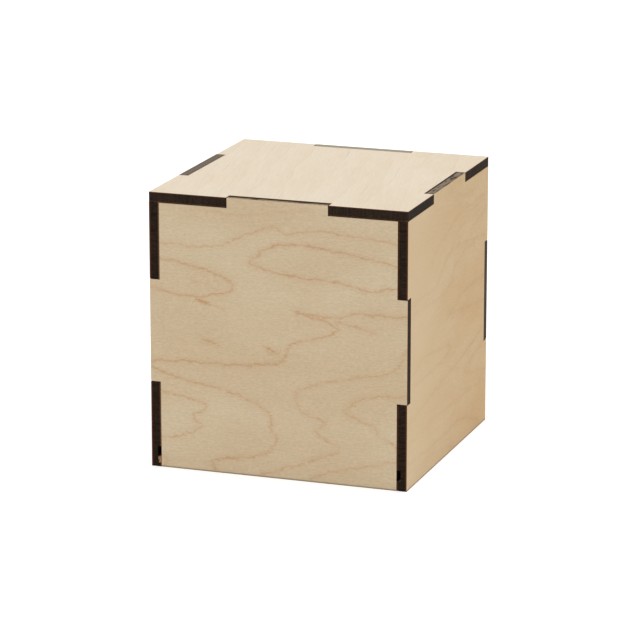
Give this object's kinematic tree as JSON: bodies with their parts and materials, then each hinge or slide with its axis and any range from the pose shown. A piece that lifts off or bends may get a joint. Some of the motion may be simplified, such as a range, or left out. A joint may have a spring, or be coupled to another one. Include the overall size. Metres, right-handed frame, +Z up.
{
  "type": "wooden puzzle box",
  "caption": "Cube-shaped plywood puzzle box with finger-jointed edges; its front is a hidden drawer that slides straight out, held by magnets and tilt-operated sliding pins.",
  "frame": {"origin": "centre of the base, on the surface that the box stands on", "axes": "+Z up; -Y out of the front, which is the face of the drawer; +X to the right when facing the front"},
  "size_m": [0.081, 0.081, 0.085],
  "materials": {
    "maple_plywood": "sanded bare maple veneer with laser-burnt edges",
    "pin_steel": "ground steel dowel pin",
    "magnet_nickel": "nickel-plated disc magnet"
  },
  "bodies": {
    "shell": {"top_panel": "maple_plywood", "left_wall": "maple_plywood", "right_wall": "maple_plywood", "back_wall": "maple_plywood", "ceiling_keeper": "maple_plywood", "left_keeper": "maple_plywood", "right_keeper": "maple_plywood", "left_stop": "maple_plywood", "right_stop": "maple_plywood", "back_wall_magnets": "magnet_nickel"},
    "drawer": {"front_panel": "maple_plywood", "drawer_floor": "maple_plywood", "drawer_left_side": "maple_plywood", "drawer_right_side": "maple_plywood", "drawer_back": "maple_plywood", "lock_core": "maple_plywood", "lock_cover": "maple_plywood", "drawer_magnets": "magnet_nickel"},
    "left_drop_pin": {"drop_pin_left": "pin_steel"},
    "right_drop_pin": {"drop_pin_right": "pin_steel"},
    "left_lean_pin": {"lean_pin_left": "pin_steel"},
    "right_lean_pin": {"lean_pin_right": "pin_steel"}
  },
  "joints": [
    {"name": "drawer_slide", "type": "slide", "parent": "shell", "child": "drawer", "axis": [0, -1, 0], "range_m": [0, 0.0612]},
    {"name": "left_drop", "type": "slide", "parent": "drawer", "child": "left_drop_pin", "axis": [0, 0, 1], "range_m": [0, 0.0032]},
    {"name": "right_drop", "type": "slide", "parent": "drawer", "child": "right_drop_pin", "axis": [0, 0, 1], "range_m": [0, 0.0032]},
    {"name": "left_lean", "type": "slide", "parent": "drawer", "child": "left_lean_pin", "axis": [-0.9397, 0, 0.342], "range_m": [0, 0.0032]},
    {"name": "right_lean", "type": "slide", "parent": "drawer", "child": "right_lean_pin", "axis": [0.9397, 0, 0.342], "range_m": [0, 0.0032]}
  ]
}
